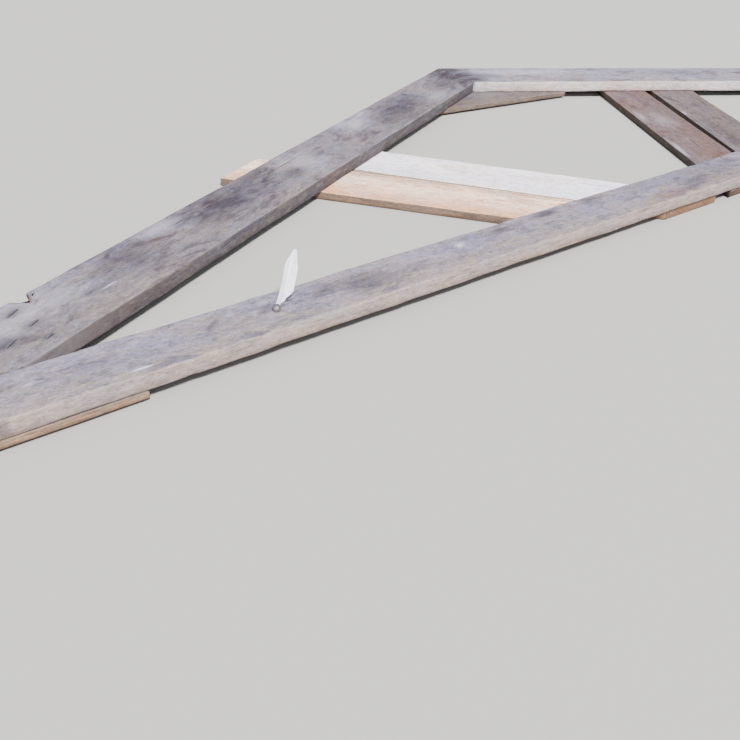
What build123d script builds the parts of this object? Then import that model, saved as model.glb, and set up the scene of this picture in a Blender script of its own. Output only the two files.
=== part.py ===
from build123d import *
import os
from math import atan, cos, degrees, radians, sin

# Wooden roof truss, lying flat on its web boards. Millimetres, +X along the
# bottom chord, +Y from the chord up to the ridge, +Z up through the thickness.
# Origin: centre of the outline in X and Y, on the surface that it lies on.

# Timbers
chord_length = 5486.0        # 18 ft stock, long point to long point
chord_width = 140.0          # 2x6
rafter_width = 203.0         # full-sawn 2x8
timber_thickness = 41.0
roof_pitch = 0.5             # rise over run
heel_nose = 12.0             # blunt end of the chord below the roof slope

# Boards and plates nailed to the underside of the timbers
web_thickness = 25.0         # rough 1 in board
web_width = 184.0            # 1x8
gusset_thickness = 18.0
apex_gusset_width = 184.0    # 1x8

# Left pair of web boards: tilts in degrees from the chord, feet measured from
# the ridge line to the board's near edge, along the chord's upper edge
left_inner_tilt = 50.5
left_outer_tilt = 49.5
left_inner_foot = 171.0
left_joint = 3.5             # open joint between the boards at the foot

# Right pair of web boards, steeper than the left pair
right_inner_tilt = 62.0
right_outer_tilt = 61.0
right_inner_foot = 87.0
right_joint = 19.0

# How far the web boards run under or past the timbers
head_inset = 8.0             # short of the roof line
long_head = 100.0            # outer left board, past the roof line
foot_inset = 3.0             # inner boards, short of the chord's lower edge
short_lap_length = 90.0      # outer boards, lap on the chord

# Gussets
apex_gusset_drop = 140.0     # its lower edge below the inner ridge corner
apex_gusset_length = 700.0
apex_gusset_tilt = 5.6       # degrees, lower on the right
heel_gusset_length = 830.0
heel_gusset_height = 370.0
heel_gusset_lean = 16.0      # degrees, its inner end back towards the heel
heel_gusset_setback = 60.0   # from the chord's long point
gusset_inset = 8.0           # short of the roof line

# Bite torn out of the left rafter's outer edge, measured along the roof line
bite_from_heel = 838.0
bite_length = 46.0
bite_root_length = 20.0      # to its deepest point
bite_depth = 34.0

# Bent strip of tin held by a nail on the chord's upper face
strip_from_ridge = 1541.0
strip_from_edge = 74.0       # nail to the chord's upper edge
strip_heading = 38.0         # degrees from the chord
strip_lift = 45.0            # degrees of the bend
strip_foot_length = 36.0     # nail to the bend
strip_tail_length = 7.0      # behind the nail
strip_blade_length = 118.0
strip_width = 34.0
strip_thickness = 1.5
strip_bend_radius = 8.0

# Derived places
half_length = chord_length / 2
roof_slope = degrees(atan(roof_pitch))
roof_cosine = cos(radians(roof_slope))
truss_height = heel_nose + half_length * roof_pitch
chord_low = -truss_height / 2
chord_top = chord_low + chord_width
ridge_top = truss_height / 2
inner_ridge = ridge_top - rafter_width / roof_cosine
timber_low = web_thickness
timber_top = timber_low + timber_thickness
gusset_low = timber_low - gusset_thickness


def saw(piece, point, normal):
    """Keep the side of the piece that the normal points to."""
    cut = Plane(origin=(point[0], point[1], 0), z_dir=(normal[0], normal[1], 0))
    return split(piece, bisect_by=cut, keep=Keep.TOP)


def saw_to_roof(piece, offset, side=-1):
    """Cut to one roof slope, left (-1) or right (1); a negative offset is below the roof line."""
    angle = radians(roof_slope)
    point = (0, ridge_top + offset / roof_cosine)
    return saw(piece, point, (-side * sin(angle), -cos(angle)))


def mirrored(piece):
    return mirror(piece, about=Plane.YZ)


def left_rafter():
    """Plumb cut at the ridge, level seat cut on the chord."""
    blank_length = half_length / roof_cosine + rafter_width
    blank = Box(blank_length, rafter_width, timber_thickness, align=(Align.MIN, Align.MAX, Align.MIN))
    blank = Location((-half_length, chord_low + heel_nose, timber_low), (0, 0, roof_slope)) * blank
    blank = saw(blank, (0, 0), (-1, 0))
    return saw(blank, (0, chord_top), (0, 1))


def bitten(rafter):
    """The left rafter has a bite out of its outer edge."""
    heel = Location((-half_length, chord_low + heel_nose, timber_low), (0, 0, roof_slope))
    outline = Polygon((0, 0), (bite_root_length, -bite_depth), (bite_length, 0), align=None)
    bite = extrude(outline, timber_thickness)
    return rafter - heel * Pos(bite_from_heel, 0, 0) * bite


def bottom_chord():
    """Both ends cut to the roof slopes, down to a blunt nose."""
    blank = Box(chord_length, chord_width, timber_thickness, align=(Align.CENTER, Align.MIN, Align.MIN))
    blank = Pos(0, chord_low, timber_low) * blank
    return saw_to_roof(saw_to_roof(blank, 0), 0, side=1)


def web_board(tilt, foot, lap, head):
    """A left-hand web board under a rafter and the chord, its near edge at the foot given."""
    blank = Box(2 * truss_height, web_width, web_thickness, align=(Align.CENTER, Align.MIN, Align.MIN))
    blank = Location((-foot, chord_top, 0), (0, 0, 180 - tilt)) * blank
    blank = saw(blank, (0, chord_top - lap), (0, 1))
    return saw_to_roof(blank, head)


def outer_foot(inner_tilt, inner_foot, joint):
    """The outer board stands beside the inner one at the foot."""
    return inner_foot + web_width / sin(radians(inner_tilt)) + joint


def apex_gusset():
    """One board across both rafters, its upper corners cut to the roof slopes."""
    blank = Box(
        apex_gusset_length, apex_gusset_width, gusset_thickness, align=(Align.CENTER, Align.MIN, Align.MIN)
    )
    place = Location((0, inner_ridge - apex_gusset_drop, gusset_low), (0, 0, -apex_gusset_tilt))
    return saw_to_roof(saw_to_roof(place * blank, -gusset_inset), -gusset_inset, side=1)


def left_heel_gusset():
    """A triangular plate, flush with the chord's lower edge, that covers the rafter's foot."""
    blank = Box(
        heel_gusset_length, heel_gusset_height, gusset_thickness, align=(Align.MIN, Align.MIN, Align.MIN)
    )
    left = heel_gusset_setback - half_length
    blank = Pos(left, chord_low, gusset_low) * blank
    lean = radians(heel_gusset_lean)
    blank = saw(blank, (left + heel_gusset_length, chord_low), (-cos(lean), -sin(lean)))
    return saw_to_roof(blank, -gusset_inset)


def nailed_strip():
    """A leaf-shaped strip: its foot lies on the chord and its blade is bent up."""
    lift = radians(strip_lift)
    reach = strip_foot_length + strip_blade_length * cos(lift)
    path = FilletPolyline(
        (-strip_tail_length, 0),
        (strip_foot_length, 0),
        (reach, strip_blade_length * sin(lift)),
        radius=strip_bend_radius,
    )
    side = Pos(0, 0, strip_thickness / 2) * (Plane.XZ * path)
    section = Plane(origin=side @ 0, z_dir=side % 0) * Rectangle(strip_thickness, strip_width)
    bent = sweep(section, path=side)
    left_bulge = (strip_foot_length + reach) / 2
    right_bulge = strip_foot_length
    outline = make_face(
        ThreePointArc((-strip_tail_length, 0), (left_bulge, strip_width / 2), (reach, 0))
        + ThreePointArc((reach, 0), (right_bulge, -strip_width / 2), (-strip_tail_length, 0))
    )
    leaf = extrude(outline, strip_blade_length)
    nail = Location((-strip_from_ridge, chord_top - strip_from_edge, timber_top), (0, 0, strip_heading))
    return nail * (bent & leaf)


full_lap = chord_width - foot_inset
left_outer_foot = outer_foot(left_inner_tilt, left_inner_foot, left_joint)
right_outer_foot = outer_foot(right_inner_tilt, right_inner_foot, right_joint)
nodes = {
    "left_rafter": bitten(left_rafter()),
    "right_rafter": mirrored(left_rafter()),
    "bottom_chord": bottom_chord(),
    "left_web_inner": web_board(left_inner_tilt, left_inner_foot, full_lap, -head_inset),
    "left_web_outer": web_board(left_outer_tilt, left_outer_foot, short_lap_length, long_head),
    "right_web_inner": mirrored(web_board(right_inner_tilt, right_inner_foot, full_lap, -head_inset)),
    "right_web_outer": mirrored(
        web_board(right_outer_tilt, right_outer_foot, short_lap_length, -head_inset)
    ),
    "apex_gusset": apex_gusset(),
    "left_heel_gusset": left_heel_gusset(),
    "right_heel_gusset": mirrored(left_heel_gusset()),
    "nailed_strip": nailed_strip(),
}

os.makedirs("parts", exist_ok=True)
for name, piece in nodes.items():
    export_step(piece, f"parts/{name}.step")
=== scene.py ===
import math

import bpy
import numpy as np
from bpy.props import FloatProperty, FloatVectorProperty, PointerProperty
from mathutils import Matrix, Vector


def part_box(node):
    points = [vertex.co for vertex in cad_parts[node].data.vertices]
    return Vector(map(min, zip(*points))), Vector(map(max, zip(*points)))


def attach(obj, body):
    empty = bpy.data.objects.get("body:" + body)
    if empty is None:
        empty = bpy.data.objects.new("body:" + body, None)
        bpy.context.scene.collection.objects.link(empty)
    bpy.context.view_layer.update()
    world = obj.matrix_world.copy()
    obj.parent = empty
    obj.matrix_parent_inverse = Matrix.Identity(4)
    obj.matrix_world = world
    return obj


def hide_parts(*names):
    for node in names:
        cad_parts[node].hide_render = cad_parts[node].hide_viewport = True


bl_info = {
    "name": "Weathered Roof Truss",
    "version": (1, 0, 0),
    "blender": (4, 5, 0),
    "location": "View3D > Sidebar > Truss",
    "description": "Builds the timbers, boards, nails and tin strip of an old roof truss",
    "category": "Add Mesh",
}

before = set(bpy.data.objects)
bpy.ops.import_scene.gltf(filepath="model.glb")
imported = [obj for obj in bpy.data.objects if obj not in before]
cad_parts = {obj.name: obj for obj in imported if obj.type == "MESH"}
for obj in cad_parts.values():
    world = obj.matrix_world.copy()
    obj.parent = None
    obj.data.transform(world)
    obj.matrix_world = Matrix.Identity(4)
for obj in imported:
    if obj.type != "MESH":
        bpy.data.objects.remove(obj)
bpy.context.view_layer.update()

TIMBER_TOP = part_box("bottom_chord")[1].z
CHORD_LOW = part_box("bottom_chord")[0].y
CHORD_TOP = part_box("bottom_chord")[1].y
HEEL_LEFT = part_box("bottom_chord")[0].x
LEVEL = 1e-5  # a difference that rounding can make

# Grid lines beside an arris and beside a sawn end, in edge radii; the step through
# a board, in steps across it; the step along the bite
ARRIS_LINES = (0, 0.25, 0.55, 1.0, 1.7)
END_LINES = (0, 0.3, 1.0, 2.0)
STEP_THROUGH = 1.4
DENSE_STEP = 0.0022

# Worn edges, in edge radii: the mean, its spread, the least and the most, a chip,
# the noise that starts a chip, and the sawn ends
WEAR_MEAN, WEAR_SPREAD, WEAR_LIMITS = 0.62, 0.75, (0.22, 1.35)
CHIP, CHIP_FROM = 2.2, 0.62
END_WEAR = 0.8

# Wood: depth of its relief, distance of its yearly rings, brown of its sawn ends; the
# blunt end of the chord, below the roof slope
RELIEF = 0.0007
RING_STEP = 0.0042
END_BROWN = 0.45
HEEL_NOSE = 0.012

# Nails: shank radii, and how far a head stands below a gusset
NAIL_RADIUS = 0.0021
SPIKE_RADIUS = 0.0026
PROUD = 0.0008

# Dirt in the left joint, its dark colour also painted shade of the joint: from the inner board's
# head to this far under the chord; its lap over the boards' edges on top and below; its depth; how
# far its top lies sunk at the sides and in the middle, and its crumbs
DIRT_AND_SHADE_FROM_HEAD, DIRT_AND_SHADE_UNDER_CHORD = 0.02, 0.06
DIRT_AND_SHADE_LAP, DIRT_AND_SHADE_FOOT_LAP = 0.0055, 0.001
DIRT_AND_SHADE_DEPTH = 0.005
DIRT_AND_SHADE_SUNK, DIRT_AND_SHADE_HOLLOW, DIRT_AND_SHADE_CRUMBS = 0.0007, 0.0012, 0.0007

# The floor and the light
FLOOR_REACH = 30.0
SKY_COLOUR = (0.86, 0.92, 1.0, 1.0)
SUN_COLOUR = (1.0, 0.97, 0.92)
FRAME_WIDTH = 36.0  # of the camera, in millimetres

# The tin strip: its nail in plan, its heading from the chord, its bend, its grid, half
# its thickness, the least height of its middle over the chord
NAIL_PLACE = (-1.541, CHORD_TOP - 0.074)
STRIP_HEADING = math.radians(38)
STRIP_LIFT = math.radians(45)
STRIP_BEND = 0.036
STRIP_BEND_LENGTH = 0.014
STRIP_GRID = (110, 25)
HALF_SHEET = 0.0005
SHEET_CLEARANCE = 0.0016

# Its crumple: the ragged edge, the two waves, the crease and the curl of its edges,
# and the part of the blade that is free to bulge, with the fade at both ends
RAGGED, WAVE, CREASE, CURL = 0.0007, 0.0016, 0.0012, 0.0022
FREE_FROM, FREE_TO, FADE_IN, FADE_OUT = 0.03, 0.156, 0.03, 0.02

# Its outline: millimetres from the nail, left edge and right edge
STRIP_OUTLINE = (
    (-6, 4, -4), (8, 6, -3), (16, 9, -1), (24, 11, 2), (31, 13, 0), (36, 13.6, -2),
    (44, 13.4, -4.6), (50, 13.3, -9), (56, 13.3, -13.5), (62, 13.4, -16), (72, 13.4, -15.5),
    (90, 15.2, -14.6), (106, 17, -13.6), (116, 17.4, -11.8), (127, 15.6, -9), (142, 9, -4),
    (150, 6, -1.5), (154, 3, 1),
)

# Its washer and nail: the lean, and pairs of radius and height
WASHER_LEAN = math.radians(34)
WASHER_LIFT = 0.0052
WASHER_RING = [
    (0.0072 + 0.0026 * math.cos(angle), 0.0016 * math.sin(angle))
    for angle in np.linspace(0, 2 * math.pi, 9)[:-1]
]
STRIP_NAIL_HEAD = [(0.0048, -0.0012), (0.0048, 0.0006), (0.0034, 0.0014), (0.0002, 0.0018)]
STRIP_NAIL_SHANK = [(0.002, -0.009), (0.002, 0.0)]


# Shader sockets as values


def maths(operation, swapped=False):
    """A method of Value that adds one maths node."""

    def method(self, *others):
        terms = dict(enumerate((*others, self) if swapped else (self, *others)))
        return self.shader.value("ShaderNodeMath", {"operation": operation}, terms)

    return method


class Value:
    """A number socket of a shader, so that shader maths reads as maths."""

    def __init__(self, shader, socket):
        self.shader = shader
        self.socket = socket

    __add__ = __radd__ = maths("ADD")
    __sub__ = maths("SUBTRACT")
    __rsub__ = maths("SUBTRACT", swapped=True)
    __mul__ = __rmul__ = maths("MULTIPLY")
    __pow__ = maths("POWER")
    fraction = maths("FRACT")
    size = maths("ABSOLUTE")
    at_least = maths("MAXIMUM")

    def ramp(self, low, high):
        """0 below low and 1 above high, smooth between."""
        return self.shader.value(
            "ShaderNodeMapRange",
            {"interpolation_type": "SMOOTHSTEP", "clamp": True},
            {"Value": self, "From Min": low, "From Max": high},
        )


class Shader:
    """One material's node tree."""

    def __init__(self, name):
        self.material = bpy.data.materials.new(name)
        self.material.use_nodes = True
        self.tree = self.material.node_tree
        self.surface = self.tree.nodes["Principled BSDF"]

    def node(self, kind, settings, inputs):
        made = self.tree.nodes.new(kind)
        for name, setting in settings.items():
            setattr(made, name, setting)
        for name, given in inputs.items():
            self.feed(made.inputs[name], given)
        return made

    def feed(self, socket, given):
        if isinstance(given, Value):
            given = given.socket
        if isinstance(given, bpy.types.NodeSocket):
            self.tree.links.new(given, socket)
        else:
            socket.default_value = given

    def value(self, kind, settings, inputs, output=0):
        return Value(self, self.node(kind, settings, inputs).outputs[output])

    def attribute(self, name, output):
        return self.node("ShaderNodeAttribute", {"attribute_name": name}, {}).outputs[output]

    def parts(self, vector):
        made = self.node("ShaderNodeSeparateXYZ", {}, {0: vector})
        return [Value(self, socket) for socket in made.outputs]

    def vector(self, x, y, z):
        return self.node("ShaderNodeCombineXYZ", {}, {0: x, 1: y, 2: z}).outputs[0]

    def noise(self, vector, detail=3.0, roughness=0.55, distortion=0.0):
        """Smooth noise of one lattice step a unit, centred on a half."""
        inputs = {"Vector": vector, "Scale": 1.0, "Detail": detail}
        inputs.update({"Roughness": roughness, "Distortion": distortion})
        return self.value("ShaderNodeTexNoise", {"noise_dimensions": "3D"}, inputs, "Fac")

    def object_noise(self, scale, detail, roughness, distortion=0.0):
        """Noise that stays with the object, of so many lattice steps a metre."""
        place = self.node("ShaderNodeTexCoord", {}, {}).outputs["Object"]
        inputs = {"Vector": place, "Scale": scale}
        scaled = self.node("ShaderNodeVectorMath", {"operation": "SCALE"}, inputs)
        return self.noise(scaled.outputs[0], detail, roughness, distortion)

    def mix(self, factor, first, second, blend="MIX"):
        made = self.tree.nodes.new("ShaderNodeMix")
        made.data_type = "RGBA"
        made.blend_type = blend
        made.clamp_factor = True
        colour_inputs = [socket for socket in made.inputs if socket.type == "RGBA"]
        self.feed(made.inputs[0], factor)
        self.feed(colour_inputs[0], first)
        self.feed(colour_inputs[1], second)
        return [socket for socket in made.outputs if socket.type == "RGBA"][0]

    def finish(self, sockets, height, strength, distance):
        """Feed the surface's sockets and its bump."""
        for name, given in sockets.items():
            self.feed(self.surface.inputs[name], given)
        inputs = {"Strength": strength, "Distance": distance, "Height": height}
        bump = self.node("ShaderNodeBump", {}, inputs)
        self.feed(self.surface.inputs["Normal"], bump.outputs[0])
        return self.material


def linear(screen_colour):
    """A colour as it looks on screen, from 0 to 1, in the linear values that a shader takes."""

    def level(share):
        return share / 12.92 if share < 0.04045 else ((share + 0.055) / 1.055) ** 2.4

    return (*[level(share) for share in screen_colour], 1.0)


def colour(red, green, blue):
    return linear((red / 255, green / 255, blue / 255))


# Noise and outlines


LATTICE = 256


def smooth_noise(x, y, seed):
    """Value noise from -1 to 1 on a seeded lattice of unit cells."""
    lattice = np.random.default_rng(seed).uniform(-1, 1, (LATTICE, LATTICE))
    column, row = np.floor(x).astype(int), np.floor(y).astype(int)
    across, up = x - column, y - row
    across = across * across * (3 - 2 * across)
    up = up * up * (3 - 2 * up)
    left, right = column % LATTICE, (column + 1) % LATTICE
    low, high = row % LATTICE, (row + 1) % LATTICE
    lower = lattice[low, left] * (1 - across) + lattice[low, right] * across
    upper = lattice[high, left] * (1 - across) + lattice[high, right] * across
    return lower * (1 - up) + upper * up


def layered_noise(x, y, seed, layers=3):
    total = 0
    for layer in range(layers):
        total = total + smooth_noise(x * 2**layer, y * 2**layer, seed + layer) / 2**layer
    return total / (2 - 2 ** (1 - layers))


def convex_outline(points):
    """Corners of the convex outline of 2-D points, anticlockwise."""
    ordered = sorted(set((round(x, 6), round(y, 6)) for x, y in points))

    def half(sequence):
        chain = []
        for p in sequence:
            while len(chain) > 1:
                (ax, ay), (bx, by) = chain[-2], chain[-1]
                if (bx - ax) * (p[1] - ay) - (by - ay) * (p[0] - ax) > 1e-9:
                    break
                chain.pop()
            chain.append(p)
        return chain[:-1]

    return half(ordered) + half(ordered[::-1])


class Board:
    """A sawn board as the frame holds it: along it, across it and through it."""

    def __init__(self, node):
        low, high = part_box(node)
        self.low = low.z
        self.thickness = high.z - low.z
        corners = convex_outline([(v.co.x, v.co.y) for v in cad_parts[node].data.vertices])
        sides = [np.subtract(corners[i - 1], corners[i]) for i in range(len(corners))]
        longest = max(sides, key=lambda side: math.hypot(*side))
        self.along = longest / math.hypot(*longest) * (1 if longest[0] > 0 else -1)
        self.across = np.array([-self.along[1], self.along[0]])
        placed = [(np.dot(c, self.along), np.dot(c, self.across)) for c in corners]
        self.near = min(v for _, v in placed)
        self.far = max(v for _, v in placed)
        self.width = self.far - self.near
        self.middle = (self.near + self.far) / 2
        # Each end's outline, from the near edge to the far one
        start = placed.index(min(placed, key=lambda c: (round(c[1], 5), c[0])))
        loop = placed[start:] + placed[:start]
        top = max(range(len(loop)), key=lambda i: (round(loop[i][1], 5), loop[i][0]))
        self.right_end = np.array(loop[:top + 1])
        self.left_end = np.array((loop[top:] + loop[:1])[::-1])
        if abs(self.right_end[0][1] - self.right_end[1][1]) < LEVEL:
            self.right_end = self.right_end[1:]
        if abs(self.left_end[-1][1] - self.left_end[-2][1]) < LEVEL:
            self.left_end = self.left_end[:-1]

    def start(self, v):
        """Where the board begins, at a place across it."""
        return np.interp(v, self.left_end[:, 1], self.left_end[:, 0])

    def stop(self, v):
        return np.interp(v, self.right_end[:, 1], self.right_end[:, 0])

    def place(self, u, v, w):
        """Points in the frame for board coordinates, with w up from the board's underside."""
        plan = u[..., None] * self.along + v[..., None] * self.across
        return np.concatenate([plan, (self.low + w)[..., None]], axis=-1)

    def local(self, x, y):
        """Board coordinates of a place in plan."""
        return np.dot((x, y), self.along), np.dot((x, y), self.across)


def spaced(length, step, close, dense=()):
    """Stations from 0 to length: the close ones at both ends, even steps between."""
    inner = close[-1]
    count = max(1, round((length - 2 * inner) / step))
    middle = np.linspace(inner, length - inner, count + 1)[1:-1]
    for low, high in dense:
        kept = middle[(middle < low) | (middle > high)]
        middle = np.sort(np.concatenate([kept, np.arange(low + DENSE_STEP / 2, high, DENSE_STEP)]))
    return np.concatenate([close, middle, length - close[::-1]])


def grid_faces(index):
    """Faces between neighbours in a grid of point numbers."""
    corners = [index[:-1, :-1], index[1:, :-1], index[1:, 1:], index[:-1, 1:]]
    return np.stack(corners, axis=-1).reshape(-1, 4)


def rows_of(*columns):
    """Arrays of one shape as the columns of a table."""
    return np.stack(columns, axis=-1).reshape(-1, len(columns))


def board_mesh(name, board, settings, given):
    """A closed grid over the board, with worn edges and the relief of its age."""
    width, thickness, seed = board.width, board.thickness, given["seed"]
    radius = settings.edge_radius * given.get("worn", 1.0)
    bite = given["bite"].placed(board) if "bite" in given else None
    close = radius * np.array(ARRIS_LINES)
    v_stations = spaced(width, settings.step_across, close)
    w_stations = spaced(thickness, settings.step_across * STEP_THROUGH, close[:4])
    columns, rows = len(v_stations) - 1, len(w_stations) - 1
    v_ring = np.concatenate(
        [v_stations[:-1], np.full(rows, width), v_stations[:0:-1], np.zeros(rows)]
    )
    w_ring = np.concatenate(
        [np.full(columns, thickness), w_stations[:0:-1], np.zeros(columns), w_stations[:-1]]
    )
    face_ring = np.repeat([0, 1, 2, 3], [columns, rows, columns, rows])
    begin = board.start(board.middle)
    length = board.stop(board.middle) - begin
    dense = [bite.stretch(begin)] if bite else []
    u_share = spaced(length, settings.step_along, radius * np.array(END_LINES), dense) / length
    v_flat = np.broadcast_to(v_ring, (len(u_share), len(v_ring)))
    w_flat = np.broadcast_to(w_ring, v_flat.shape)
    start, stop = board.start(board.near + v_ring), board.stop(board.near + v_ring)
    u = start + (stop - start) * u_share[:, None]
    to_end = np.minimum(u_share, 1 - u_share)[:, None] * length
    v, w, normal_v, normal_w = rounded(board, v_flat, w_flat, face_ring, u, to_end, radius, seed)
    relief, paint, rings = aged(board, u, v + board.near, w, normal_w, given)
    if bite:
        torn = bite.depth(u, w)
        v = v - torn * np.clip((v - width + bite.SOUND) / bite.SOUND, 0, 1)
        # The torn rim is painted brown as shade in the notch
        blend(paint, "brown", bite.colour(v, width, torn))
    v = v - normal_v * relief
    w = w - normal_w * relief
    worn = np.minimum(np.abs(normal_v), np.abs(normal_w)) * 1.4
    index = np.arange(v.size).reshape(v.shape)
    vertices = [board.place(u, v + board.near, w).reshape(-1, 3)]
    faces = [grid_faces(np.concatenate([index, index[:, :1]], axis=1))]
    grains = [rows_of(u, v + board.near, w)]
    lies = [rows_of(normal_w, worn, rings)]
    paints = [paint.reshape(-1, 4)]
    count = v.size
    for end in (0, -1):
        cap_u, cap_v, cap_w = cap(board, end, v, w, columns, rows)
        ring, none = index[end], np.zeros(cap_v.shape)
        numbers = np.zeros((columns + 1, rows + 1), int)
        numbers[1:-1, 1:-1] = count + np.arange(cap_v.size).reshape(cap_v.shape)
        numbers[:-1, rows] = ring[:columns]
        numbers[columns, rows:0:-1] = ring[columns:columns + rows]
        numbers[columns:0:-1, 0] = ring[columns + rows:2 * columns + rows]
        numbers[0, :rows] = ring[2 * columns + rows:]
        cells = grid_faces(numbers)
        faces.append(cells[:, ::-1] if end == 0 else cells)
        vertices.append(board.place(cap_u, cap_v + board.near, cap_w).reshape(-1, 3))
        grains.append(rows_of(cap_u, cap_v + board.near, cap_w))
        lies.append(rows_of(none, none, ring_field(board, cap_u, cap_v + board.near, cap_w, seed)))
        paints.append(rows_of(none, none, none + END_BROWN, none))
        count += cap_v.size
    mesh = bpy.data.meshes.new(name)
    mesh.from_pydata(np.concatenate(vertices).tolist(), [], np.concatenate(faces).tolist())
    mesh.polygons.foreach_set("use_smooth", np.ones(len(mesh.polygons), bool))
    for label, kind, field, tables in (
        ("grain", "FLOAT_VECTOR", "vector", grains),
        ("lie", "FLOAT_VECTOR", "vector", lies),
        ("marks", "FLOAT_COLOR", "color", paints),
    ):
        layer = mesh.attributes.new(label, kind, "POINT")
        layer.data.foreach_set(field, np.concatenate(tables).astype(np.float32).ravel())
    mesh.update()
    return mesh


def rounded(board, v, w, face, u, to_end, radius, seed):
    """Turn the sharp section into one with worn corners, tighter where the wood is sound."""
    touching = 1e-9
    new_v, new_w = v.astype(float), w.astype(float)
    normal_v = np.select([face == 1, face == 3], [1.0, -1.0], 0.0) + 0 * new_v
    normal_w = np.select([face == 0, face == 2], [1.0, -1.0], 0.0) + 0 * new_v
    for number, (far, high) in enumerate([(0, 1), (1, 1), (1, 0), (0, 0)]):
        uneven = layered_noise(u * 9, number + 0.5, seed + 11 * number, 4)
        chip = np.clip(smooth_noise(u * 13, number + 4.5, seed + 9) - CHIP_FROM, 0, 1)
        r = radius * (np.clip(WEAR_MEAN + WEAR_SPREAD * uneven, *WEAR_LIMITS) + chip * CHIP)
        from_v = board.width - v if far else v
        from_w = board.thickness - w if high else w
        on_flat = from_w < touching
        near = np.where(on_flat, from_v < r, (from_v < touching) & (from_w < r))
        distance = np.where(on_flat, -from_v, from_w)
        angle = (distance + r) / (2 * r) * math.pi / 2
        sine, cosine = np.sin(angle), np.cos(angle)
        sign_v, sign_w = 2 * far - 1, 2 * high - 1
        centre_v = board.width - r if far else r
        centre_w = board.thickness - r if high else r
        new_v = np.where(near, centre_v + sign_v * r * sine, new_v)
        new_w = np.where(near, centre_w + sign_w * r * cosine, new_w)
        normal_v = np.where(near, sign_v * sine, normal_v)
        normal_w = np.where(near, sign_w * cosine, normal_w)
    end_radius = radius * END_WEAR
    short = np.clip(end_radius - to_end, 0, None)
    inset = end_radius - np.sqrt(np.maximum(end_radius**2 - short**2, 0))
    return new_v - normal_v * inset, new_w - normal_w * inset, normal_v, normal_w


def cap(board, end, v, w, columns, rows):
    """Inner points of the grid over one sawn end."""
    share = np.arange(1, rows) / rows

    def across(field):
        high = field[end, 1:columns][:, None]
        low = field[end, columns + rows + 1:2 * columns + rows][::-1, None]
        return low * (1 - share) + high * share

    cap_v = across(v)
    edge = board.start if end == 0 else board.stop
    return edge(cap_v + board.near), cap_v, across(w)


# What a board has grown and suffered, and painted shade and shadow laid on it


class Bite:
    """A wedge torn out of a board's far edge, its places measured along the board."""

    SOUND = 0.075  # width of the edge that gives way
    # The brown rim is painted shade in the notch of the bite
    RIM = 0.012  # width of the brown rim, and reach of the finer grid

    def __init__(self, start, root, stop, depth):
        self.start, self.root, self.stop = start, root, stop
        self.deepest = depth

    def placed(self, board):
        """The same bite with its places along the board's own axis."""
        heel = np.dot((HEEL_LEFT, CHORD_LOW + HEEL_NOSE), board.along)
        return Bite(heel + self.start, heel + self.root, heel + self.stop, self.deepest)

    def stretch(self, board_start):
        """Where the grid is finer, from the board's start."""
        return self.start - board_start - self.RIM, self.stop - board_start + self.RIM

    def depth(self, u, w):
        """How far the edge is torn back."""
        ragged = u + smooth_noise(w * 160, u * 30, 71) * 0.0025
        places = [self.start, self.root, self.stop - 0.006, self.stop]
        wedge = np.interp(ragged, places, [0, 1, 0.62, 0])
        splinter = 1 + 0.14 * smooth_noise(u * 420, w * 60, 72) * (wedge > 0.05)
        return self.deepest * wedge * splinter

    def colour(self, v, width, torn):
        """The brown of the torn rim, painted shade in the notch."""
        rim = np.clip(1 - np.abs(v - (width - torn)) / self.RIM, 0, 1)
        return rim * np.clip(torn / 0.006, 0, 1) * 0.85


# The stain kind also lays painted shadow and painted shade
KINDS = {"stain": 0, "pale": 1, "brown": 2, "crack": 3}


def blend(paint, kind, patch):
    """Let a patch of one kind show wherever it is the stronger."""
    channel = KINDS[kind]
    paint[..., channel] = np.maximum(paint[..., channel], patch)


class Mark:
    """A soft patch at a place in plan, on a board's upper face or on its narrow faces."""

    def __init__(self, kind, x, y, length, width, strength, side):
        self.kind, self.side = kind, side
        self.x, self.y = x, y
        self.length, self.width, self.strength = length, width, strength

    def lay(self, board, u, v, normal_w, ragged, paint):
        at_u, at_v = board.local(self.x, self.y)
        gap = np.hypot((u - at_u) / (self.length / 2), (v - at_v) / (self.width / 2))
        facing = 1 - np.abs(normal_w) if self.side else np.clip(normal_w, 0, 1)
        patch = np.clip((1.35 - gap + ragged) / 1.1, 0, 1) * self.strength * facing
        blend(paint, self.kind, patch)


def marks_of(**kinds):
    """Marks from rows of x, y, length, width and strength; a _side kind is for narrow faces."""
    return [
        Mark(kind.removesuffix("_side"), *row, kind.endswith("_side"))
        for kind, rows in kinds.items()
        for row in rows
    ]


class Knot:
    """A branch stub in a board, at a place in plan; the rings flow round it."""

    LONGER = 1.9

    def __init__(self, x, y, size):
        self.x, self.y = x, y
        self.size = size

    def grow(self, board, u, v, w, rings, depth, paint):
        at_u, at_v = board.local(self.x, self.y)
        lean = (w - board.thickness) * 0.35
        gap = np.hypot((u - at_u) / self.LONGER, v - at_v + lean) / self.size
        rings = rings + 7 * np.exp(-(gap**2) / 2.2)
        core = np.clip((1.15 - gap) / 0.5, 0, 1)
        rim = np.clip(1 - np.abs(gap - 1) * 3, 0, 1)
        blend(paint, "brown", core * 0.4)
        blend(paint, "stain", np.maximum(rim * 0.6, core * 0.5))
        return rings, depth + 0.001 * rim


def ring_field(board, u, v, w, seed):
    """Yearly rings as a growing number: arcs about a pith that drifts below the board."""
    source = np.random.default_rng(seed)
    offset = source.uniform(-0.25, 0.25) * board.width
    depth = source.uniform(0.05, 0.09)
    drift = smooth_noise(u * 0.8, 0.5, seed + 5)
    lean = smooth_noise(u * 0.6, 0.5, seed + 6)
    pith_v = board.middle + offset + lean * 0.025
    pith_w = -depth + drift * 0.03
    wobble = layered_noise(u * 3, v * 22, seed + 7) * 0.0018
    return (np.hypot(v - pith_v, w - pith_w) + wobble) / RING_STEP


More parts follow.
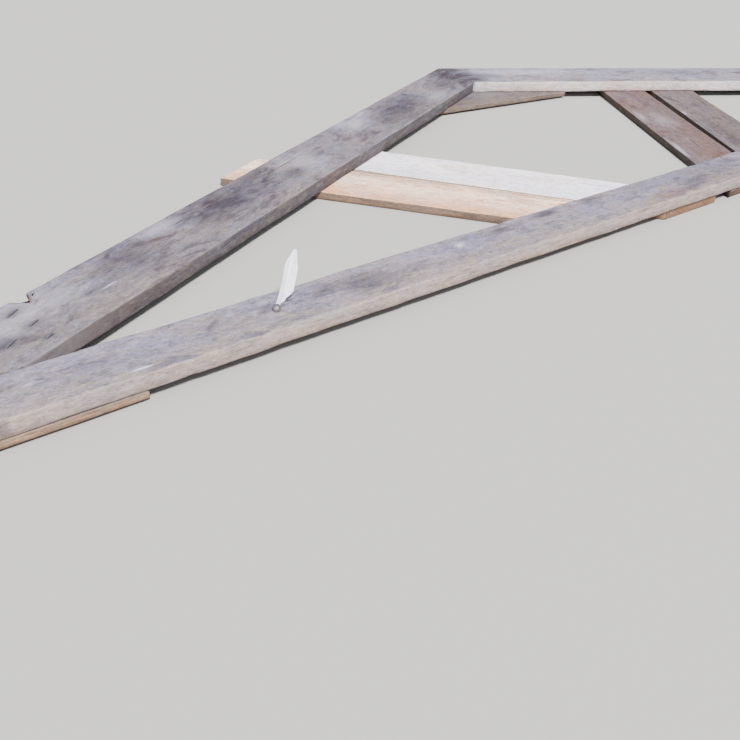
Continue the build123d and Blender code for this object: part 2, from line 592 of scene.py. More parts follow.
def aged(board, u, v, w, normal_w, given):
    """The relief, the marks and the rings of one board."""
    seed = given["seed"]
    rings = ring_field(board, u, v, w, seed)
    loose = layered_noise(u * 4, v * 40 + w * 60, seed + 21)
    depth = RELIEF * (1 + loose) * 0.5
    paint = np.zeros(u.shape + (4,))
    for knot in given.get("knots", ()):
        rings, depth = knot.grow(board, u, v, w, rings, depth, paint)
    depth = depth + split(board, u, v, normal_w, paint, seed, given["checks"])
    ragged = layered_noise(u * 30, v * 110, seed + 43) * 0.55
    for mark in given.get("marks", ()):
        mark.lay(board, u, v, normal_w, ragged, paint)
    return depth, paint, rings


def split(board, u, v, normal_w, paint, seed, checks):
    """Drying checks along the grain, more of them near the ends; the depth that they take."""
    source = np.random.default_rng(seed + 100)
    begin, end = board.start(board.middle), board.stop(board.middle)
    depth = 0
    for number in range(checks):
        at_end = number % 4 == 0
        share = source.uniform(-0.01, 0.03) if at_end else source.uniform(0.04, 0.96)
        share = 1 - share if source.random() < 0.5 else share
        at_u = begin + share * (end - begin)
        at_v = board.near + source.uniform(0.1, 0.9) * board.width
        run = source.uniform(0.06, 0.15) if at_end else source.uniform(0.03, 0.12)
        wide = source.uniform(0.0008, 0.0017)
        deep = source.uniform(0.0012, 0.003)
        side = -1.0 if source.random() < 0.35 else 1.0
        path = at_v + smooth_noise(u * 7, at_v * 50, seed + 31) * 0.004
        open_share = np.clip(1 - ((u - at_u) / run) ** 2, 0, 1) ** 0.5
        inside = np.clip(1.4 - np.abs(v - path) / (wide * open_share + 1e-6), 0, 1)
        gap = inside * open_share * np.clip(normal_w * side, 0, 1)
        depth = depth + gap * deep
        blend(paint, "crack", gap)
    return depth


# Band, cloud, blotch, speck, tint and small tint of the wood: lattice steps a metre
# along, across and through a board, share of the seed, detail, roughness, distortion
WOOD_NOISES = (
    (9, 42, 40, 1.7, 4.0, 0.66, 0.8), (7.5, 14, 9, 2.3, 5.0, 0.68, 1.1),
    (34, 60, 44, 4.1, 4.0, 0.7, 0.8), (120, 230, 200, 2.9, 3.0, 0.7, 0.5),
    (4.5, 11, 5, 3.7, 3.0, 0.6, 0.5), (26, 60, 40, 5.3, 2.0, 0.6, 0.0),
)


def wood(name, board, seed, look):
    """Old sawn timber: mottled colour, faint fibre lines over the rings, stains, edge wear; with
    painted shade low on the narrow faces, a painted highlight on the upper edges and painted shadow
    in some stain marks.
    """
    shader = Shader(name)
    grain = look.grain
    u, v, w = shader.parts(shader.attribute("grain", "Vector"))
    facing, worn, rings = shader.parts(shader.attribute("lie", "Vector"))
    stain, pale, brown = shader.parts(shader.attribute("marks", "Color"))
    crack = Value(shader, shader.attribute("marks", "Alpha"))
    across = (v - float(board.near)) * (1 / float(board.width))
    height = w * (1 / board.thickness)
    girth = v + w * 1.3
    bent = girth + (rings.ramp(0, 60) - 0.5) * 0.004
    fibre = shader.noise(shader.vector(u * 26, bent * 340, w * 300 + seed), 4.0, 0.68)
    fine = shader.noise(shader.vector(u * 90, girth * 900, seed + 0.3), 2.0, 0.6)
    band, cloud, blotch, speck, tint, small_tint = (
        shader.noise(shader.vector(u * along, girth * over, w * through + seed * shift), *spread)
        for along, over, through, shift, *spread in WOOD_NOISES
    )
    ring_shade = shader.noise(shader.vector(rings * 0.6, u * 1.6, seed + 0.7), 2.0, 0.5)
    latewood = ((rings.fraction() - 0.5).size() * 2) ** 3
    split_line = shader.noise(shader.vector(u * 16, girth * 300, seed * 3.1), 2.0, 0.5)
    hairline = (0.012 - (split_line - 0.5).size()).ramp(0.0, 0.012) * band.ramp(0.5, 0.62)
    upward = facing.ramp(0.3, 0.85)
    downward = (facing * -1).ramp(0.8, 0.98)
    top_wood = shader.mix((1 - across).ramp(0.3, 1.05), linear(look.top), linear(look.near))
    top_wood = shader.mix(band.ramp(0.38, 0.66) * 0.4, top_wood, linear(look.streak))
    top_wood = shader.mix(cloud.ramp(0.5, 0.66) * 0.85, top_wood, linear(look.patch))
    side_wood = shader.mix(band.ramp(0.4, 0.66) * 0.45, linear(look.side), linear(look.side_patch_and_shade))
    # Painted shade: the narrow faces darken towards their lower edge
    side_wood = shader.mix((1 - height).ramp(0.45, 1.1) * 0.8, side_wood, linear(look.side_patch_and_shade))
    under_wood = shader.mix(cloud.ramp(0.4, 0.62), linear(look.low), linear(look.side_patch_and_shade))
    surface = shader.mix(upward, side_wood, top_wood)
    surface = shader.mix(downward, surface, under_wood)
    hue = tint * 0.6 + small_tint * 0.4
    cast = shader.mix(hue.ramp(0.36, 0.64), (0.92, 0.96, 1.12, 1.0), (1.10, 0.99, 0.94, 1.0))
    surface = shader.mix(grain * 0.9, surface, cast, "MULTIPLY")
    green = small_tint.ramp(0.52, 0.7) * (1 - across * 0.6) * look.green
    surface = shader.mix(green, surface, colour(150, 153, 134))
    lines = latewood * ring_shade.ramp(0.4, 0.68) * (0.26 * grain)
    surface = shader.mix(lines, surface, shader.mix(0.6, surface, colour(60, 50, 50)))
    streaks = (fibre - 0.5) * (0.5 * grain) + (fine - 0.5) * (0.3 * grain)
    tone = streaks + (blotch - 0.5) * (1.3 * grain) + (speck - 0.5) * (1.5 * grain) + 1.0
    surface = shader.mix(1.0, surface, shader.vector(tone, tone, tone), "MULTIPLY")
    # Rubbed edges, partly wear and partly a painted highlight, kept to the upper edges
    rubbed_and_highlight = worn.ramp(0.35, 0.95) * band.ramp(0.42, 0.6) * height.ramp(0.5, 0.8) * 0.35
    dark = crack.ramp(0.15, 0.8).at_least(hairline * (0.6 * grain))
    for amount, laid in (
        (rubbed_and_highlight, linear(look.edge)),
        (pale * (0.55 + fibre * 0.7), colour(214, 212, 226)),
        (brown * (0.45 + fibre * 0.9), colour(104, 76, 58)),
        # Dark of stains, and of the painted shadow and shade that some stain marks lay
        (stain * (0.4 + fibre * 0.9), colour(46, 39, 48)),
        (dark, colour(40, 34, 33)),
    ):
        surface = shader.mix(amount, surface, laid)
    height_map = (1 - latewood) * 0.2 + fibre * 0.45 + fine * 0.2 + blotch * 0.4 + speck * 0.4
    sockets = {"Base Color": surface, "Roughness": 0.78 + fibre * 0.18, "Specular IOR Level": 0.22}
    return shader.finish(sockets, height_map - dark * 0.8, 0.6, 0.0016)


def rusty_iron():
    """Old nail iron: dark blue-grey, paler in its pits, with pale flecks of painted highlight."""
    shader = Shader("rusty_iron")
    pits = shader.object_noise(420.0, 4.0, 0.65)
    iron_and_highlight = shader.mix(pits.ramp(0.35, 0.65), colour(72, 72, 86), colour(100, 96, 108))
    # Pale flecks: painted highlight
    iron_and_highlight = shader.mix(pits.ramp(0.6, 0.72) * 0.5, iron_and_highlight, colour(116, 112, 122))
    sockets = {"Base Color": iron_and_highlight, "Roughness": 0.66 + pits * 0.3, "Metallic": 0.2}
    return shader.finish(sockets, pits, 0.5, 0.0006)


def dirt_and_joint_shade():
    """Grey-brown dirt with pale crumbs; its darker brown is also painted shade of the joint that it
    fills.
    """
    shader = Shader("dirt_and_joint_shade")
    crumbs = shader.object_noise(160.0, 5.0, 0.7)
    # Dirt colour that is also painted shade of the joint
    dirt_and_shade = shader.mix(crumbs.ramp(0.38, 0.62), colour(112, 90, 76), colour(176, 156, 142))
    return shader.finish({"Base Color": dirt_and_shade, "Roughness": 0.95}, crumbs, 0.8, 0.002)


def worn_steel():
    """A nail head rubbed bright in the middle of its rust."""
    shader = Shader("worn_steel")
    pits = shader.object_noise(500.0, 3.0, 0.6)
    metal = shader.mix(pits.ramp(0.5, 0.7), colour(158, 140, 138), colour(110, 92, 86))
    return shader.finish({"Base Color": metal, "Roughness": 0.5 + pits * 0.3}, pits, 0.4, 0.0004)


def dull_tin():
    """Zinc-coated sheet gone white and dull, with soft dents and grey wipes."""
    shader = Shader("dull_tin")
    wipe = shader.object_noise(60.0, 3.0, 0.6, 0.6)
    spangle = shader.object_noise(340.0, 3.0, 0.6)
    sheet = shader.mix(wipe.ramp(0.45, 0.7), colour(242, 242, 254), colour(210, 212, 232))
    sheet = shader.mix(spangle.ramp(0.62, 0.78) * 0.5, sheet, colour(168, 166, 172))
    sockets = {"Base Color": sheet, "Roughness": 0.42 + spangle * 0.3, "Metallic": 0.08}
    return shader.finish(sockets, spangle + wipe, 0.35, 0.0008)


class Joined:
    """Points and faces of many small forms, made into one mesh."""

    def __init__(self):
        self.points, self.faces, self.count = [], [], 0

    def add(self, points, faces, placed=None):
        points = np.asarray(points, float)
        if placed is not None:
            turn = np.array(placed.to_3x3())
            points = points @ turn.T + np.array(placed.translation)
        self.points.extend(points.tolist())
        self.faces.extend(tuple(number + self.count for number in face) for face in faces)
        self.count += len(points)

    def mesh(self, name):
        made = bpy.data.meshes.new(name)
        made.from_pydata(self.points, [], self.faces)
        made.polygons.foreach_set("use_smooth", np.ones(len(made.polygons), bool))
        made.update()
        return made


def ring_faces(rings, sides, closed=False):
    """Faces between rings of points, capped at both ends or closed into a loop."""
    faces = []
    for ring in range(rings if closed else rings - 1):
        here, following = ring * sides, (ring + 1) % rings * sides
        for k in range(sides):
            after = (k + 1) % sides
            faces.append((here + k, here + after, following + after, following + k))
    if not closed:
        faces.append(tuple(range(sides))[::-1])
        faces.append(tuple((rings - 1) * sides + k for k in range(sides)))
    return faces


def turned(profile, sides=16, closed=False):
    """A form turned about +Z from pairs of radius and height."""
    angles = [2 * math.pi * k / sides for k in range(sides)]
    points = [(r * math.cos(a), r * math.sin(a), z) for r, z in profile for a in angles]
    return points, ring_faces(len(profile), sides, closed)


def bent_rod(path, radii, side, sides=8):
    """A round bar along a path in the plane that side stands square to."""
    path, side = np.asarray(path, float), np.asarray(side, float)
    ahead = np.gradient(path, axis=0)
    over = np.cross(side, ahead)
    over /= np.linalg.norm(over, axis=1)[:, None]
    angles = 2 * math.pi * np.arange(sides) / sides
    around = np.cos(angles)[None, :, None] * side + np.sin(angles)[None, :, None] * over[:, None, :]
    points = path[:, None, :] + around * np.asarray(radii)[:, None, None]
    return points.reshape(-1, 3), ring_faces(len(path), sides)


def clinched_point(joined, start, stop, radius=NAIL_RADIUS):
    """A nail's point that comes up through the timber and is hammered over."""
    start, stop = np.array(start), np.array(stop)
    length = np.linalg.norm(stop - start)
    ahead = (stop - start) / length
    run = np.array([0, 0, 0.002, 0.006, 0.6 * length, 0.9 * length, length])
    rise = np.array([-0.004, 0.0005, 0.0022, 0.0026, 0.0022, 0.0014, 0.0002])
    path = np.column_stack([start + run[:, None] * ahead, TIMBER_TOP + rise])
    radii = radius * np.array([1, 1, 1, 1, 0.85, 0.5, 0.15])
    joined.add(*bent_rod(path, radii, (ahead[1], -ahead[0], 0)))


def nail_head(joined, x, y, surface, proud):
    """A flat round head on the underside of a board."""
    profile = [(0.0002, -proud), (0.0034, -proud * 0.9), (0.0046, -proud * 0.3), (0.0046, 0.0012)]
    joined.add(*turned(profile), Matrix.Translation((x, y, surface)))


def nailed_lap(joined, upper, lower, source, proud, spots):
    """Nail heads under a lap of two boards, about the place where their middle lines cross."""
    centre = np.linalg.solve([upper.across, lower.across], [upper.middle, lower.middle])
    for along, across in spots:
        shift = source.uniform(-0.006, 0.006, 2)
        x, y = centre + (along + shift[0]) * upper.along + (across + shift[1]) * upper.across
        nail_head(joined, x, y, lower.low, proud)


def joint_dirt_and_shade(name):
    """Dirt that has filled the narrow joint between the left web boards, a near-flush sheet whose
    colour also paints the joint's shade.
    """
    inner, outer = Board("left_web_inner"), Board("left_web_outer")
    begin = inner.start(inner.near) + DIRT_AND_SHADE_FROM_HEAD
    end = (CHORD_TOP - DIRT_AND_SHADE_UNDER_CHORD - inner.near * inner.across[1]) / inner.along[1]
    u = np.linspace(begin, end, 500)
    edge = u[:, None] * inner.along + inner.near * inner.across
    beyond = (edge @ outer.across) - outer.far
    middle = edge - inner.across * (beyond / 2)[:, None]
    section = []
    for share in np.linspace(1, -1, 7):
        crumbs = layered_noise(u * 90, share, 61)
        sunk = DIRT_AND_SHADE_SUNK + DIRT_AND_SHADE_HOLLOW * (1 - abs(share)) + DIRT_AND_SHADE_CRUMBS * crumbs
        section.append((share * (beyond / 2 + DIRT_AND_SHADE_LAP), sunk))
    for share in (-1, 1):
        section.append((share * (beyond / 2 + DIRT_AND_SHADE_FOOT_LAP), u * 0 + DIRT_AND_SHADE_DEPTH))
    top = inner.low + inner.thickness
    rows = [
        np.column_stack([middle + aside[:, None] * inner.across, top - sunk])
        for aside, sunk in section
    ]
    joined = Joined()
    joined.add(np.stack(rows, axis=1).reshape(-1, 3), ring_faces(len(u), len(rows)))
    return joined.mesh(name)


def strip_mesh(name):
    """The tin leaf: a narrow neck under the washer, then a crumpled blade bent up."""
    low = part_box("nailed_strip")[0]
    nail = np.array([*NAIL_PLACE, low.z])
    ahead = np.array([math.cos(STRIP_HEADING), math.sin(STRIP_HEADING), 0])
    left = np.array([-ahead[1], ahead[0], 0])
    distance, left_edge, right_edge = np.array(STRIP_OUTLINE).T / 1000
    stations = np.linspace(distance[0], distance[-1], STRIP_GRID[0])
    s, share = np.meshgrid(stations, np.linspace(0, 1, STRIP_GRID[1]), indexing="ij")
    t = np.interp(s, distance, right_edge) * (1 - share)
    t = t + np.interp(s, distance, left_edge) * share
    t = t + smooth_noise(s * 160, 3.5, 7) * RAGGED * (2 * share - 1)
    past = np.clip((s - STRIP_BEND) / STRIP_BEND_LENGTH + 0.5, 0, 1)
    slope = STRIP_LIFT * past * past * (3 - 2 * past)
    step = np.gradient(s, axis=0)
    run = np.cumsum(np.cos(slope) * step, axis=0) + distance[0]
    rise = np.cumsum(np.sin(slope) * step, axis=0)
    wave = layered_noise(s * 42, t * 60, 17) * WAVE + smooth_noise(s * 19, t * 90, 19) * WAVE
    crease = np.exp(-((t - 0.004 - (s - 0.06) * 0.05) / 0.0022) ** 2) * CREASE
    curl = (np.abs(2 * share - 1) ** 3) * smooth_noise(s * 28, np.round(share) + 0.5, 23) * CURL
    free = np.clip((s - FREE_FROM) / FADE_IN, 0, 1) * np.clip((FREE_TO - s) / FADE_OUT, 0, 1)
    bulge = (wave + crease + curl) * free
    lift = np.clip(SHEET_CLEARANCE - rise, 0, 1)
    layers = []
    for side in (HALF_SHEET, -HALF_SHEET):
        along = run - np.sin(slope) * (bulge + side)
        up = rise + lift + np.cos(slope) * (bulge + side)
        plan = nail + along[..., None] * ahead + t[..., None] * left
        layers.append((plan + up[..., None] * np.array([0, 0, 1])).reshape(-1, 3))
    index = np.arange(s.size).reshape(s.shape)
    cells = grid_faces(index)
    faces = cells.tolist() + (cells[:, ::-1] + s.size).tolist()
    rim = [*index[:, 0], *index[-1, 1:], *index[-2::-1, -1], *index[0, -2:0:-1]]
    for here, after in zip(rim, rim[1:] + rim[:1]):
        faces.append((int(here), int(here) + s.size, int(after) + s.size, int(after)))
    joined = Joined()
    joined.add(np.concatenate(layers), faces)
    return joined.mesh(name)


def put(name, data):
    """Put an object into the scene."""
    made = bpy.data.objects.new(name, data)
    bpy.context.scene.collection.objects.link(made)
    return made


def add_piece(name, mesh, material, replaces=None):
    piece = put(name, mesh)
    mesh.materials.append(material)
    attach(piece, "root")
    if replaces:
        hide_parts(replaces)


# Settings


def measure(name, description, default, subtype="NONE", unit="NONE"):
    """A number in the panel."""
    return FloatProperty(
        name=name, description=description, default=default, subtype=subtype, unit=unit
    )


def triple(name, description, default, subtype):
    """Three numbers in the panel."""
    return FloatVectorProperty(
        name=name, description=description, default=default, subtype=subtype
    )


class TrussBoardSettings(bpy.types.PropertyGroup):
    """How every board is cut up and worn."""

    edge_radius: measure("Edge Radius", "Worn edge", 0.0045, unit="LENGTH")
    step_along: measure("Step Along", "Grid along a board", 0.011, unit="LENGTH")
    step_across: measure("Step Across", "Grid across a board", 0.0027, unit="LENGTH")


class TrussStageSettings(bpy.types.PropertyGroup):
    """The floor, the light and the camera."""

    eye: triple(
        "Camera Place", "Where the camera stands", (-2.2347, -1.8577, 0.9230), "TRANSLATION"
    )
    heading: measure("Heading", "From +Y towards +X", 0.65549, "ANGLE")
    dip: measure("Dip", "Below level", 0.61961, "ANGLE")
    roll: measure("Roll", "Camera roll", 0.05080, "ANGLE")
    lens: measure("Lens", "Focal length in mm on a 36 mm frame", 38.10)
    sky: measure("Fill", "Strength of the light from all round", 0.93)
    key: measure("Key", "Strength of the key light", 7.8)
    key_angle: measure("Key Spread", "Softness of shadows", 0.16, "ANGLE")
    key_towards: triple(
        "Key Towards", "Way the key light goes", (0.139, 0.611, -0.924), "DIRECTION"
    )
    floor_colour: triple("Floor", "Floor colour", (0.43, 0.425, 0.415), "COLOR")


def paint_colour(name, description):
    """A colour in the panel, from 0 to 1 as it looks on screen."""
    return FloatVectorProperty(
        name=name, description=description, subtype="COLOR_GAMMA", min=0, max=1
    )


class TrussLook(bpy.types.PropertyGroup):
    """The colours of one kind of board, as they look on screen."""

    top: paint_colour("Top", "Upper face")
    near: paint_colour("Near Edge", "Upper face along the edge towards -Y")
    streak: paint_colour("Streak", "Streaks along the upper face")
    patch: paint_colour("Patch", "Patches on the upper face")
    side: paint_colour("Side", "Narrow faces")
    # The side patch colour also gives the painted shade towards the lower edge of the narrow faces
    side_patch_and_shade: paint_colour("Side Patch", "Streaks and patches on the narrow faces")
    low: paint_colour("Underside", "Lower face")
    # The edge colour is partly wear and partly a painted highlight on the upper edges
    edge: paint_colour("Edge", "Rubbed edges")
    grain: measure("Grain", "Strength of the grain", 1.0, "FACTOR")
    green: measure("Green", "Strength of the green tinge", 0.0, "FACTOR")


LOOKS = {
    "grey": dict(
        top=(134, 129, 142), near=(144, 130, 126), streak=(122, 116, 127), patch=(96, 92, 106),
        side=(168, 154, 149), side_patch_and_shade=(134, 117, 108), low=(112, 100, 92), edge=(170, 162, 160),
        green=0.35,
    ),
    "dark_grey": dict(
        top=(121, 115, 125), near=(118, 111, 115), streak=(106, 99, 106), patch=(80, 70, 80),
        side=(90, 84, 87), side_patch_and_shade=(70, 63, 64), low=(100, 90, 82), edge=(146, 140, 142),
        green=0.2,
    ),
    "right_grey": dict(
        top=(135, 134, 148), near=(142, 136, 143), streak=(118, 114, 125), patch=(104, 96, 103),
        side=(216, 206, 205), side_patch_and_shade=(182, 168, 160), low=(112, 101, 90), edge=(184, 178, 178),
        green=0.1,
    ),
    "bleached": dict(
        top=(250, 246, 253), near=(240, 234, 238), streak=(230, 224, 232), patch=(226, 219, 220),
        side=(146, 119, 100), side_patch_and_shade=(104, 78, 62), low=(140, 124, 108), edge=(240, 234, 230),
        grain=0.8,
    ),
    "tan": dict(
        top=(250, 221, 200), near=(206, 162, 132), streak=(232, 190, 160), patch=(232, 170, 124),
        side=(134, 113, 98), side_patch_and_shade=(88, 68, 54), low=(128, 106, 86), edge=(224, 202, 184),
    ),
    "rose_brown": dict(
        top=(112, 97, 97), near=(104, 87, 84), streak=(98, 80, 80), patch=(92, 72, 72),
        side=(84, 73, 65), side_patch_and_shade=(52, 44, 38), low=(98, 84, 72), edge=(138, 124, 118),
        green=0.05,
    ),
    "slate_brown": dict(
        top=(112, 101, 101), near=(106, 94, 92), streak=(95, 84, 84), patch=(80, 71, 74),
        side=(86, 76, 68), side_patch_and_shade=(56, 48, 42), low=(98, 87, 77), edge=(142, 130, 124),
        green=0.05,
    ),
    "apex": dict(
        top=(113, 106, 106), near=(112, 101, 97), streak=(100, 90, 86), patch=(93, 91, 98),
        side=(120, 106, 96), side_patch_and_shade=(88, 75, 66), low=(118, 103, 90), edge=(150, 142, 137),
        green=0.05,
    ),
    "heel": dict(
        top=(124, 111, 106), near=(124, 110, 102), streak=(98, 85, 78), patch=(104, 89, 80),
        side=(152, 126, 104), side_patch_and_shade=(112, 86, 66), low=(122, 104, 88), edge=(168, 156, 146),
        green=0.1,
    ),
}


class TrussLooks(bpy.types.PropertyGroup):
    """One look for each kind of board."""

    __annotations__ = {kind: PointerProperty(type=TrussLook) for kind in LOOKS}

    def fill(self):
        """Give every look its colours."""
        for kind, given in LOOKS.items():
            look = getattr(self, kind)
            for field, setting in given.items():
                is_share = field in ("grain", "green")
                setattr(look, field, setting if is_share else [level / 255 for level in setting])


CHORD_MARKS = marks_of(
    stain=(
        (-0.859, -0.586, 0.09, 0.034, 0.85), (-0.69, -0.575, 0.095, 0.038, 0.8),
        (-0.501, -0.573, 0.1, 0.034, 0.7), (-1.41, -0.605, 0.075, 0.03, 0.6),
        (-1.3, -0.596, 0.09, 0.03, 0.6), (-1.427, -0.622, 0.045, 0.014, 0.45),
        # The second mark on the row below is a painted shadow along a scratch; the scratch is the
        # first pale mark
        (-1.516, -0.676, 0.045, 0.012, 0.45), (-1.852, -0.679, 0.034, 0.005, 0.6),
        # The two marks on the row below are a painted shadow of the tin strip's blade on the chord
        (-1.519, -0.614, 0.022, 0.012, 0.9), (-1.502, -0.601, 0.026, 0.013, 0.95),
        (-1.39, -0.6, 0.18, 0.05, 0.45), (-1.3, -0.622, 0.17, 0.09, 0.55),
        (-1.18, -0.63, 0.12, 0.05, 0.25), (-0.9, -0.585, 0.12, 0.05, 0.35),
        (-0.03, -0.62, 0.5, 0.17, 0.36), (-0.28, -0.59, 0.18, 0.06, 0.3),
        (-1.9, -0.625, 0.3, 0.05, 0.16), (-1.7, -0.62, 0.2, 0.05, 0.16),
        (0.62, -0.6, 0.2, 0.05, 0.45), (2.1, -0.59, 0.22, 0.04, 0.5),
    ),
    pale=(
        (-1.855, -0.673, 0.036, 0.006, 0.95), (-2.043, -0.613, 0.012, 0.01, 0.8),
        (-1.01, -0.596, 0.026, 0.016, 0.9), (-1.297, -0.713, 0.008, 0.04, 0.5),
        (-1.274, -0.715, 0.008, 0.036, 0.5),
    ),
    brown=((-0.25, -0.67, 0.26, 0.05, 0.45), (1.45, -0.62, 0.4, 0.06, 0.35)),
    stain_side=((-2.113, -0.69, 0.022, 0.012, 0.9),),
)
LEFT_RAFTER_MARKS = marks_of(
    stain=(
        (-1.388, -0.085, 0.32, 0.17, 0.98), (-1.28, -0.03, 0.28, 0.15, 0.62),
        (-1.228, 0.04, 0.15, 0.07, 0.75), (-1.11, 0.01, 0.11, 0.065, 0.8),
        (-1.71, -0.25, 0.2, 0.15, 0.65), (-0.963, 0.102, 0.07, 0.036, 0.45),
        (-0.49, 0.32, 0.3, 0.18, 0.8), (-0.41, 0.375, 0.22, 0.15, 0.78),
        (-0.13, 0.5, 0.16, 0.13, 0.7), (-0.03, 0.66, 0.16, 0.08, 0.95),
        (-0.034, 0.605, 0.18, 0.08, 0.95), (-0.034, 0.545, 0.18, 0.08, 0.95),
        (-0.03, 0.49, 0.16, 0.07, 0.95), (-0.827, 0.06, 0.06, 0.026, 0.4),
        # From the second mark on the row below, four marks darken the wood round the heel's
        # hammered-over points: partly iron stain, partly painted shade
        (-1.815, -0.342, 0.08, 0.034, 0.3), (-1.996, -0.35, 0.06, 0.034, 0.62),
        (-1.972, -0.416, 0.06, 0.036, 0.62), (-1.959, -0.476, 0.04, 0.028, 0.62),
        (-2.03, -0.463, 0.064, 0.038, 0.62),
    ),
    pale=(
        (-1.585, -0.134, 0.14, 0.05, 0.32), (-1.794, -0.345, 0.05, 0.007, 0.6),
        (-2.0, -0.37, 0.3, 0.12, 0.3), (-1.05, 0.05, 0.16, 0.15, 0.22),
        (-0.715, 0.285, 0.14, 0.1, 0.35), (-0.64, 0.345, 0.12, 0.06, 0.3),
        (-0.262, 0.385, 0.2, 0.06, 0.16),
    ),
    stain_side=((-0.4, 0.2, 1.1, 0.3, 0.12),),
    pale_side=((-2.02, -0.54, 0.44, 0.3, 0.16),),
    brown_side=((-1.95, -0.5, 0.7, 0.3, 0.24),),
)
RIGHT_RAFTER_MARKS = marks_of(
    stain=(
        (0.024, 0.64, 0.13, 0.1, 1.0), (0.024, 0.57, 0.13, 0.1, 1.0),
        (0.022, 0.5, 0.13, 0.09, 1.0), (0.08, 0.52, 0.14, 0.09, 0.5),
        (0.9, 0.15, 0.22, 0.06, 0.4), (2.0, -0.38, 0.2, 0.06, 0.45),
    ),
    brown=((1.5, -0.15, 0.3, 0.07, 0.35),),
    pale=((0.3, 0.47, 0.5, 0.09, 0.3),),
)
RIGHT_INNER_MARKS = marks_of(
    pale=(
        (0.363, -0.075, 0.12, 0.03, 0.24), (0.197, -0.363, 0.16, 0.02, 0.36),
        (0.408, -0.146, 0.16, 0.08, 0.17),
    ),
    stain=((0.333, -0.059, 0.12, 0.022, 0.6),),
    brown=((0.258, -0.431, 0.16, 0.08, 0.4),),
)
RIGHT_OUTER_MARKS = marks_of(
    pale=((0.56, -0.13, 0.05, 0.012, 0.55),),
    stain=((0.506, -0.334, 0.22, 0.09, 0.45),),
)
LEFT_INNER_MARKS = marks_of(
    brown=(
        # The first three brown marks darken the edge along the joint with the outer board, partly
        # as dirt and partly as painted shade of the joint
        (-0.925, 0.036, 0.3, 0.03, 0.6), (-0.76, -0.164, 0.26, 0.022, 0.45),
        (-0.62, -0.334, 0.3, 0.016, 0.35), (-0.097, -0.688, 0.16, 0.3, 1.8),
        (-0.177, -0.688, 0.16, 0.3, 1.8), (-0.257, -0.688, 0.16, 0.3, 1.8),
    ),
)
LEFT_OUTER_MARKS = marks_of(
    brown=(
        # The first four brown marks darken the edge along the joint with the inner board, partly as
        # dirt and partly as painted shade of the joint
        (-0.735, -0.195, 1.6, 0.022, 0.55), (-0.95, 0.04, 0.22, 0.04, 0.42),
        (-0.8, -0.145, 0.3, 0.034, 0.4), (-0.64, -0.33, 0.24, 0.026, 0.35),
        (-0.6, -0.423, 0.1, 0.05, 0.4),
    ),
    pale=((-0.98, -0.01, 0.1, 0.05, 0.45),),
    stain_side=((-0.76, -0.47, 0.06, 0.02, 0.6),),
    brown_side=((-0.9, -0.3, 0.3, 0.03, 0.5),),
)
APEX_MARKS = marks_of(
    brown=((-0.2, 0.4, 0.26, 0.16, 0.3),),
    stain=((-0.1, 0.42, 0.1, 0.06, 0.25),),
)

# Nails, in metres: spots of a lap along and across its upper timber, and points seen on top
RAFTER_LAP = ((-0.055, -0.05), (0.05, -0.055), (-0.045, 0.052), (0.056, 0.05), (0.004, 0.0))
CHORD_LAP = ((-0.05, -0.03), (0.045, 0.03))
APEX_LAP = ((-0.09, -0.04), (0.02, -0.05), (-0.06, 0.04), (0.06, 0.05), (-0.01, 0.01))
HEEL_POINTS = (
    ((-2.0105, -0.3664), (-1.9841, -0.3454)), ((-1.9835, -0.4222), (-1.9615, -0.4073)),
    ((-1.9696, -0.4821), (-1.9537, -0.4731)), ((-2.0435, -0.4762), (-2.0189, -0.4572)),
)
HEEL_CHORD_HEADS = (
    (-2.40, -0.64), (-2.22, -0.60), (-2.06, -0.65), (-1.92, -0.60), (-2.30, -0.49), (-2.16, -0.44),
)
RAFTER_POINTS = (((-1.204, 0.058), (-1.192, 0.061)), ((-1.099, 0.016), (-1.088, 0.020)))

LEFT_BITE = Bite(start=0.838, root=0.858, stop=0.884, depth=0.034)

BOARDS = {
    "bottom_chord": dict(
        slot="grey_timber", look="grey", seed=3, checks=9, worn=1.9, marks=CHORD_MARKS,
        knots=(Knot(-0.15, -0.600, 0.008), Knot(1.9, -0.66, 0.012)),
    ),
    "left_rafter": dict(
        slot="grey_timber", look="dark_grey", seed=14, checks=6, worn=1.7,
        marks=LEFT_RAFTER_MARKS, bite=LEFT_BITE,
        knots=(Knot(-1.62, -0.190, 0.010), Knot(-0.43, 0.35, 0.010)),
    ),
    "right_rafter": dict(
        slot="grey_timber", look="right_grey", seed=25, checks=6, worn=1.7,
        marks=RIGHT_RAFTER_MARKS,
        knots=(Knot(1.15, 0.030, 0.016), Knot(1.95, -0.330, 0.018)),
    ),
    "left_web_inner": dict(
        slot="bleached_board", look="bleached", seed=36, checks=3, marks=LEFT_INNER_MARKS,
    ),
    "left_web_outer": dict(
        slot="tan_board", look="tan", seed=47, checks=3, marks=LEFT_OUTER_MARKS,
        knots=(Knot(-1.24, 0.20, 0.008),),
    ),
    "right_web_inner": dict(
        slot="brown_board", look="rose_brown", seed=58, checks=6, marks=RIGHT_INNER_MARKS,
        knots=(Knot(0.44, 0.02, 0.012),),
    ),
    "right_web_outer": dict(
        slot="grey_board", look="slate_brown", seed=69, checks=6, marks=RIGHT_OUTER_MARKS,
    ),
    "apex_gusset": dict(slot="tan_board", look="apex", seed=80, checks=4, marks=APEX_MARKS),
    "left_heel_gusset": dict(slot="brown_board", look="heel", seed=91, checks=4),
    "right_heel_gusset": dict(slot="brown_board", look="heel", seed=102, checks=4),
}


def build_boards(context, *nodes):
    """Build some of the boards, each in the place of its CAD part."""
    for node in nodes:
        given = BOARDS[node]
        board = Board(node)
        mesh = board_mesh("worn_" + node, board, context.scene.truss_boards, given)
        look = getattr(context.scene.truss_looks, given["look"])
        material = wood(node + "_wood", board, given["seed"], look)
        add_piece("worn_" + node, mesh, material, node)
    return {"FINISHED"}


